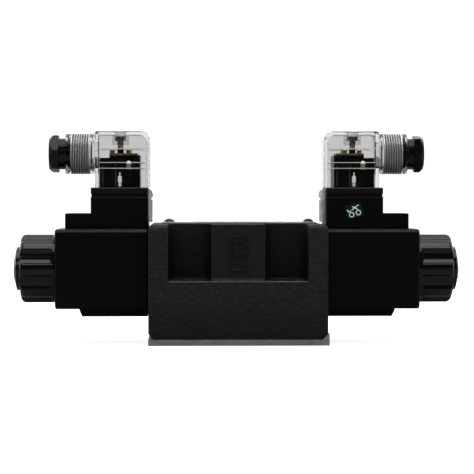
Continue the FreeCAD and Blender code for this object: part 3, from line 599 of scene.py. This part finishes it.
def makeHoodHighlightLines(side, sign):
    # fine raised lines across the hood's two broad faces, white and glowing as painted highlights
    h = hoodHighlightLines
    half = h["thick"] / 2
    xs = sorted((sign * h["from"], sign * h["to"]))
    spans = []
    for z in h["heights"]:
        for face in (1, -1):
            ys = sorted((face * (h["faceY"] - h["sunk"]), face * (h["faceY"] + h["proud"])))
            spans.append((*xs, *ys, z - half, z + half))
    settleBars(
        f"hoodHighlightLines_{side}", spans, finishes["hoodHighlightLine"], "hood_clear", f"plug_{side}", h["softened"]
    )


insertRibs = {
    "places": (57.8, 51.3), "halfWide": 0.2, "faceY": 11.0, "sunk": 0.1, "proud": 0.25,
    "low": 79.6, "high": 91.0, "softened": 0.08,
}


def makeInsertRibs(side, sign):
    # thin upright edges where the insert's moulding steps, on both faces, painted light grey as highlights
    # on the black insert
    m = insertRibs
    spans = []
    for x in m["places"]:
        for face in (1, -1):
            ys = sorted((face * (m["faceY"] - m["sunk"]), face * (m["faceY"] + m["proud"])))
            middle = 2 * connectorX - x if face * sign > 0 else x
            xs = sorted((sign * (middle - m["halfWide"]), sign * (middle + m["halfWide"])))
            spans.append((*xs, *ys, m["low"], m["high"]))
    settleBars(
        f"insertRibs_{side}", spans, finishes["insertEdgeHighlight"], "insert_black", f"plug_{side}", m["softened"]
    )


sticker = {
    "centre": (59.8, 67.5), "wide": 8.6, "tall": 7.0, "turn": 12.0, "faceY": -14.75, "thick": 0.10,
    "markSunk": 0.01, "markThick": 0.03, "line": 0.55, "ringPoints": 40, "strokePoints": 24,
    "rings": ((-1.7, -1.8, 1.15), (1.9, -1.4, 1.15)),
    "strokes": (
        [(-3.4, 1.3), (-2.9, -0.1), (-1.5, 0.6)], [(-0.6, 2.3), (0.6, 1.3), (2.0, 0.2)],
        [(-0.9, 0.5), (0.8, 1.6), (2.9, 2.4)],
    ),
}


def stickerPoint(u, v, depth):
    # a place on the label: turned about its centre, and standing off the coil's front face by depth
    s = sticker
    t = math.radians(s["turn"])
    x = s["centre"][0] + u * math.cos(t) - v * math.sin(t)
    z = s["centre"][1] + u * math.sin(t) + v * math.cos(t)
    return np.stack([x, np.full_like(x, s["faceY"] - depth), z], axis=-1) * mm


def ribbonOnSticker(name, u, v, closed):
    # a flat band of even width along a path (u, v): each point is moved half the width to either side,
    # at right angles to the path there, at two depths
    s = sticker
    if closed:
        du, dv = np.roll(u, -1) - np.roll(u, 1), np.roll(v, -1) - np.roll(v, 1)
    else:
        du, dv = np.gradient(u), np.gradient(v)
    length = np.hypot(du, dv)
    nu, nv = -dv / length * s["line"] / 2, du / length * s["line"] / 2
    low, high = s["thick"] - s["markSunk"], s["thick"] + s["markThick"]
    loop = [
        stickerPoint(u + nu, v + nv, low), stickerPoint(u + nu, v + nv, high),
        stickerPoint(u - nu, v - nv, high), stickerPoint(u - nu, v - nv, low),
    ]
    points = np.stack(loop, axis=1)
    return gridMesh(name, points, closeRows=closed, closeColumns=True, capEnds=not closed)


def smoothPath(corners, count):
    # a curve through the corners: u and v are each a polynomial in t, which counts the corners
    corners = np.asarray(corners, dtype=float)
    steps = np.arange(len(corners))
    fit = [np.polyfit(steps, corners[:, k], len(corners) - 1) for k in (0, 1)]
    t = np.linspace(0, len(corners) - 1, count)
    return np.polyval(fit[0], t), np.polyval(fit[1], t)


def makeSticker():
    # a small green inspection label with two rings, a hook and crossed strokes, on the front of coil b
    s = sticker
    u = np.array([-0.5, 0.5, 0.5, -0.5]) * s["wide"]
    v = np.array([-0.5, -0.5, 0.5, 0.5]) * s["tall"]
    base = np.stack([stickerPoint(u, v, 0.0), stickerPoint(u, v, s["thick"])], axis=0)
    shell = gridMesh("inspectionLabel", base, closeColumns=True, capEnds=True)
    settle(shell.name, shell, finishes["labelGreen"], "coil_black", "root")
    around = np.linspace(0, 2 * np.pi, s["ringPoints"], endpoint=False)
    for i, (ringU, ringV, ringR) in enumerate(s["rings"]):
        u, v = ringU + ringR * np.cos(around), ringV + ringR * np.sin(around)
        shell = ribbonOnSticker(f"labelRing{i}", u, v, True)
        settle(shell.name, shell, finishes["labelWhite"], "coil_black", "root")
    for i, corners in enumerate(s["strokes"]):
        u, v = smoothPath(corners, s["strokePoints"])
        shell = ribbonOnSticker(f"labelStroke{i}", u, v, False)
        settle(shell.name, shell, finishes["labelWhite"], "coil_black", "root")


plateSymbol = {
    "top": 61.6, "middle": 1.2, "sunk": 0.01, "thick": 0.05, "line": 0.35, "box": 9.0,
    "port": 2.0,                       # how far each flow path stands from its box's middle
    "stub": 1.6, "halfCap": 0.9,       # a blocked port: its short stroke and half of its cap
    "spring": 5.0, "zigs": 6, "zigRise": 1.6, "coil": (4.5, 6.0),
}


def symbolStrokes():
    # the usual diagram of a three-position valve, as strokes (x0, y0, x1, y1): three boxes with their flow
    # paths or blocked ports, a spring zigzag and a solenoid box with its slash at each end
    p = plateSymbol
    b, port, stub, cap = p["box"], p["port"], p["stub"], p["halfCap"]
    half = b / 2
    ports = (-port, port)
    strokes = []
    for x in (-b, 0, b):
        strokes += [(x - half, -half, x + half, -half), (x - half, half, x + half, half)]
    strokes += [(x, -half, x, half) for x in (-1.5 * b, -half, half, 1.5 * b)]
    strokes += [(x, -half, x, -half + stub) for x in ports] + [(x, half, x, half - stub) for x in ports]
    strokes += [(x - cap, s * (half - stub), x + cap, s * (half - stub)) for x in ports for s in (-1, 1)]
    strokes += [(b + x, -half, b + x, half) for x in ports]
    strokes += [(-b - port, -half, -b + port, half), (-b - port, half, -b + port, -half)]
    for s in (-1, 1):
        edge = s * 1.5 * b
        xs = [edge + s * p["spring"] / p["zigs"] * i for i in range(p["zigs"] + 1)]
        ys = [0, *(p["zigRise"] * (-1) ** i for i in range(p["zigs"] - 1)), 0]
        strokes += list(zip(xs, ys, xs[1:], ys[1:]))
        near, wide, tall = edge + s * p["spring"], *p["coil"]
        far = near + s * wide
        low, high = -tall / 2, tall / 2
        strokes += [(near, low, far, low), (near, high, far, high)]
        strokes += [(near, low, near, high), (far, low, far, high), (near, low, far, high)]
    return np.array(strokes, dtype=float)


def makePlateSymbol():
    # each stroke is a thin bar: its two ends moved half a line width sideways, at two heights
    p = plateSymbol
    strokes = symbolStrokes()
    start, stop = strokes[:, :2] + (p["middle"], 0.0), strokes[:, 2:] + (p["middle"], 0.0)
    along = (stop - start) / np.linalg.norm(stop - start, axis=1, keepdims=True)
    aside = np.stack([-along[:, 1], along[:, 0]], axis=-1) * p["line"] / 2
    over = along * p["line"] / 2
    start, stop = start - over, stop + over
    ring = np.stack([start + aside, start - aside, stop - aside, stop + aside], axis=1)
    heights = (p["top"] - p["sunk"], p["top"] + p["thick"])
    layers = [np.concatenate([ring, np.full((*ring.shape[:2], 1), z)], axis=2) for z in heights]
    mesh = boxesMesh("plateSymbol", np.concatenate(layers, axis=1) * mm)
    settle(mesh.name, mesh, finishes["symbolInk"], "plate_aluminium", "root")


edgeHighlight = {
    "half": 35.2, "y": 34.78, "z": 31.98, "radius": 0.36, "along": 160, "around": 16,
    "uprightX": (13.25, 35.35), "uprightY": (33.45, 34.95), "uprightZ": (33.6, 60.2), "uprightRadius": 0.17,
    "ripple": 1 / 6, "waves": (0.9, 2.3), "taper": 0.5, "tip": 0.05,
}


def highlightRod(name, centre, length, radius, upright, finish):
    # a thin rod let into a cast edge to carry a painted highlight: at the distance s along it r = radius *
    # (1 + ripple * (sin 0.9s + sin 2.3s) / 2), drawn in to a tip over its last half millimetre at each end
    e = edgeHighlight
    s = np.linspace(-length / 2, length / 2, e["along"])[:, None]
    taper = np.clip((length / 2 - np.abs(s)) / e["taper"], e["tip"], 1)
    r = radius * (1 + e["ripple"] * sum(np.sin(wave * s) for wave in e["waves"]) / 2) * taper
    angle = np.linspace(0, 2 * np.pi, e["around"], endpoint=False)[None, :]
    across, up = r * np.cos(angle), r * np.sin(angle)
    sides = (across, up, s) if upright else (s, across, up)
    points = np.stack(np.broadcast_arrays(*sides), axis=-1) + centre
    mesh = gridMesh(name, points * mm, closeColumns=True, flatAngle=60, capEnds=True)
    settle(mesh.name, mesh, finishes[finish], "cast_iron_black", "root")


def makeEdgeHighlights():
    # painted highlights along the front and back edges of the shelf, and along the upright edges of the web
    # and the columns
    e = edgeHighlight
    low, high = e["uprightZ"]
    for face, side in ((-1, "Front"), (1, "Back")):
        centre = (0.0, face * e["y"], e["z"])
        highlightRod(f"shelfEdgeHighlight{side}", centre, 2 * e["half"], e["radius"], False, "brightEdgeHighlight")
        for i, (edgeX, edgeY) in enumerate(zip(e["uprightX"], e["uprightY"])):
            for k in (-1, 1):
                centre = (k * edgeX, face * edgeY, (low + high) / 2)
                name = f"castEdge{side}{i}{k > 0:d}"
                highlightRod(name, centre, high - low, e["uprightRadius"], True, "faintEdgeHighlight")


lampHighlight = {
    "x": 4.6, "y": 10.4, "z": 91.6, "radius": 1.24, "squash": 1.1, "closed": 0.96, "rows": 14, "around": 24,
}


def makeLampHighlights(side, sign):
    # a painted highlight on the top of each small lamp, a glowing cap: the upper half of an egg, r = radius
    # * cos t, height = squash * radius * sin t, with a flat underneath and a very small one at its top
    t = lampHighlight
    tilt = np.linspace(0.0, t["closed"] * np.pi / 2, t["rows"])[:, None]
    angle = np.linspace(0, 2 * np.pi, t["around"], endpoint=False)[None, :]
    r = t["radius"] * np.cos(tilt)
    for face in (-1, 1):
        x = sign * (connectorX - face * sign * t["x"]) + r * np.cos(angle)
        y = face * t["y"] + r * np.sin(angle)
        z = t["z"] + t["squash"] * t["radius"] * np.sin(tilt) + 0 * angle
        points = np.stack([x, y, z], axis=-1)
        name = f"lampHighlight_{side}{face > 0:d}"
        mesh = gridMesh(name, points * mm, closeColumns=True, flatAngle=50, capEnds=True)
        settle(mesh.name, mesh, finishes["lampHighlight"], "lamp_lens", f"plug_{side}")


seam = {"fromX": 45.3, "toX": 74.9, "halfY": 14.75, "sunk": 0.4, "proud": 0.12, "low": 74.02, "high": 74.36}


def makeSeamLines(side, sign):
    # the thin pale line where the gasket meets the top of the boss, along the two broad faces
    m = seam
    xs = sorted((sign * m["fromX"], sign * m["toX"]))
    spans = []
    for face in (-1, 1):
        ys = sorted((face * (m["halfY"] - m["sunk"]), face * (m["halfY"] + m["proud"])))
        spans.append((*xs, *ys, m["low"], m["high"]))
    settleBars(f"seamLine_{side}", spans, finishes["seamLine"], "gasket_black", "root")


# painted highlights along the cast edges
makeEdgeHighlights()
print("rubbed edges made")
for side, sign in ends.items():
    makeCoilNut(side, sign)
    makeNeckThread(side, sign)
    makeHoodHighlightLines(side, sign)
    makeInsertRibs(side, sign)
    makeLampHighlights(side, sign)
    makeSeamLines(side, sign)
print("nuts, neck threads, hood and seam lines, insert ribs and lamp tips made")
makeSticker()
makePlateSymbol()
print("label and symbol made")
